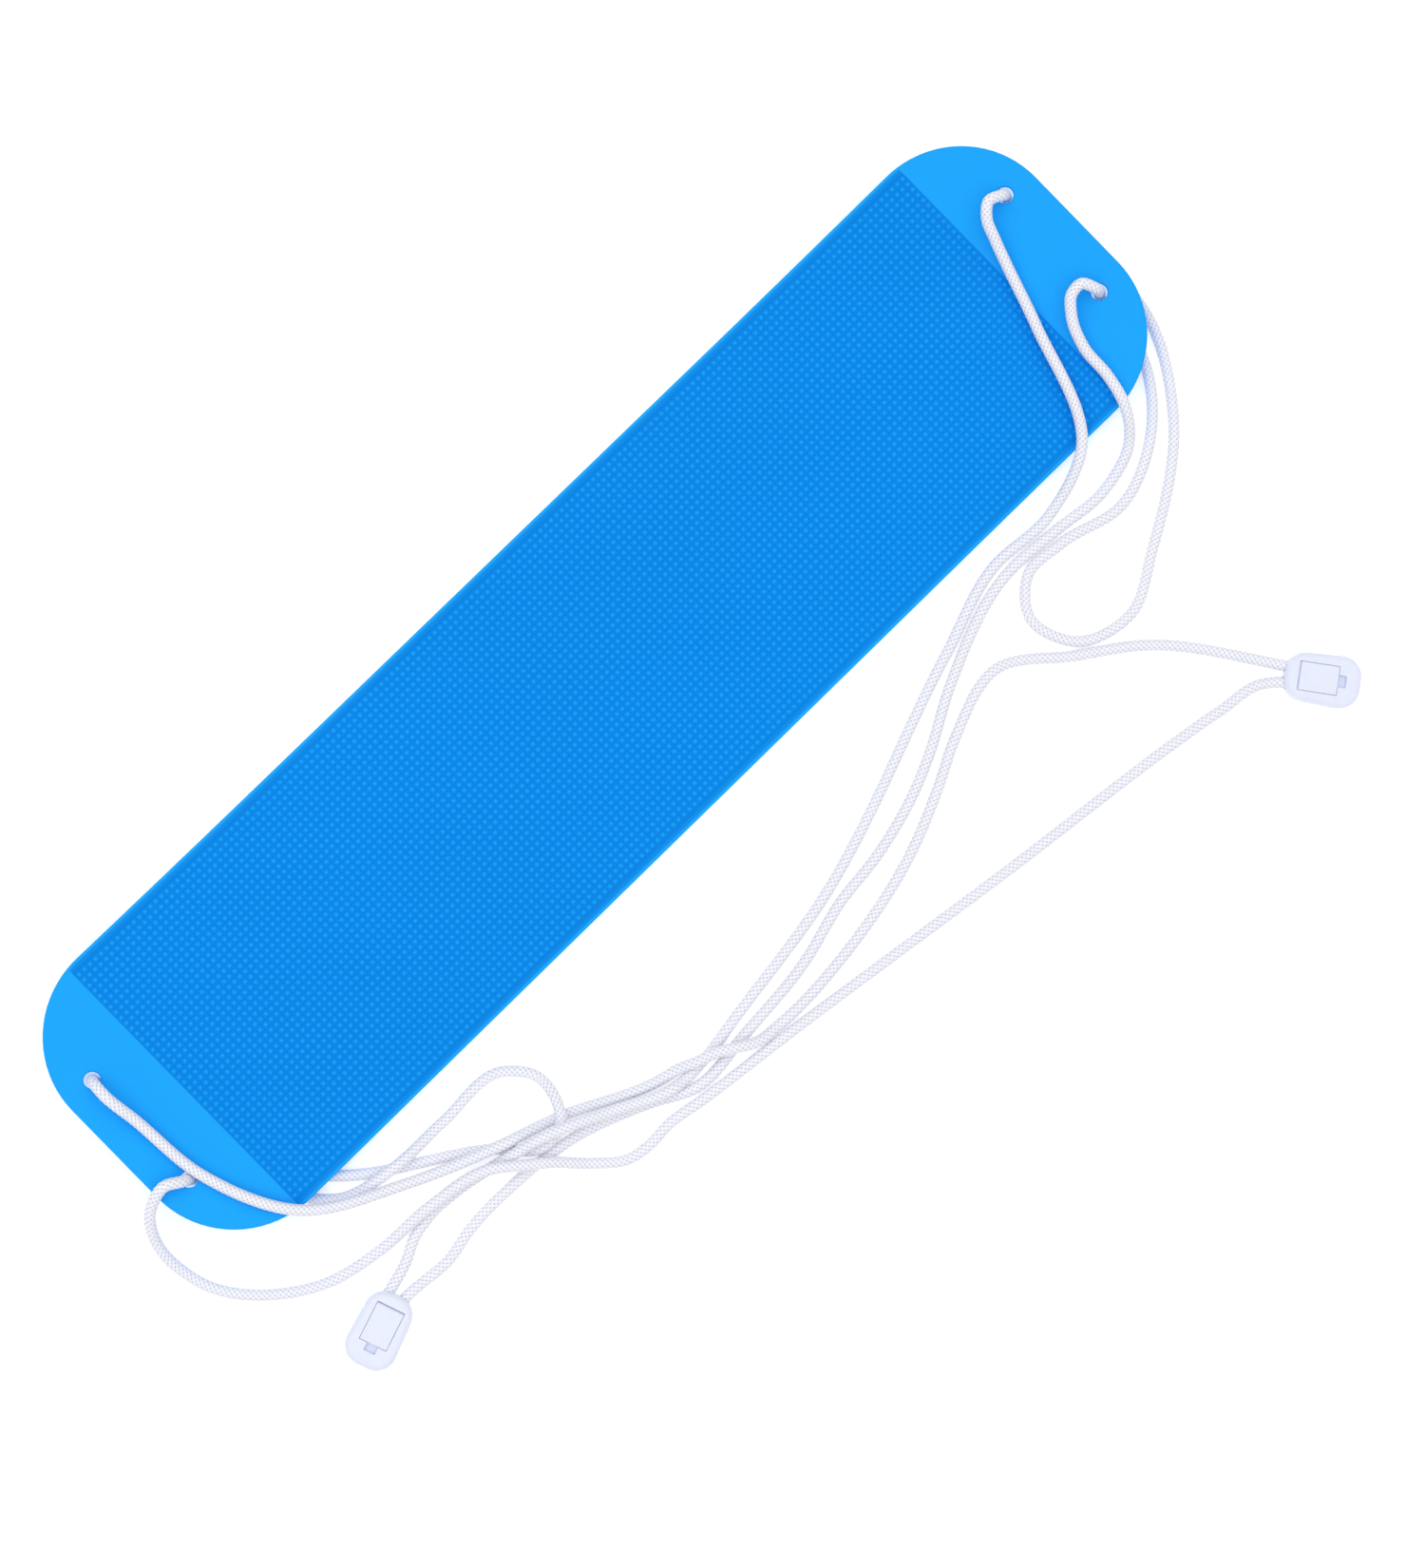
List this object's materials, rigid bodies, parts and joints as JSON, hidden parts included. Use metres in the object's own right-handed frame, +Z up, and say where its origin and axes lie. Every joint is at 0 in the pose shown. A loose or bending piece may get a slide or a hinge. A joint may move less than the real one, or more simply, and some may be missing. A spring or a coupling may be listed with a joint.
{
  "type": "kickboard float",
  "caption": "Long thin flexible float board with a nubbed top and upturned rounded ends, and at each end a braided cord loop through a pair of holes, closed by a hinged cord-end clip.",
  "frame": {"origin": "centre of the board's underside, on the surface that it lies on", "axes": "+X along the board's length towards the end that cord A is threaded through, +Y across its width away from the slack cords, +Z up out of the nubbed top"},
  "size_m": [0.5673, 0.2922, 0.0251],
  "materials": {
    "board": "soft moulded sheet, satin, with a grid of tiny domed nubs on top",
    "cord": "tight white round braid",
    "clip": "moulded white plastic, satin"
  },
  "bodies": {
    "board_and_cords": {"board": "board", "cord_a": "cord", "cord_b": "cord", "clip_a_body": "clip", "clip_b_body": "clip"},
    "clip_a_lid": {"clip_a_lid": "clip"},
    "clip_b_lid": {"clip_b_lid": "clip"}
  },
  "joints": [
    {"name": "clip_a_hinge", "type": "hinge", "parent": "board_and_cords", "child": "clip_a_lid", "pos_m": [-0.24092, -0.12298, 0.008], "axis": [-0.3256, 0.9455, 0], "range_deg": [0, 95]},
    {"name": "clip_b_hinge", "type": "hinge", "parent": "board_and_cords", "child": "clip_b_lid", "pos_m": [0.21061, -0.20099, 0.008], "axis": [-0.7986, -0.6018, 0], "range_deg": [0, 95]}
  ]
}
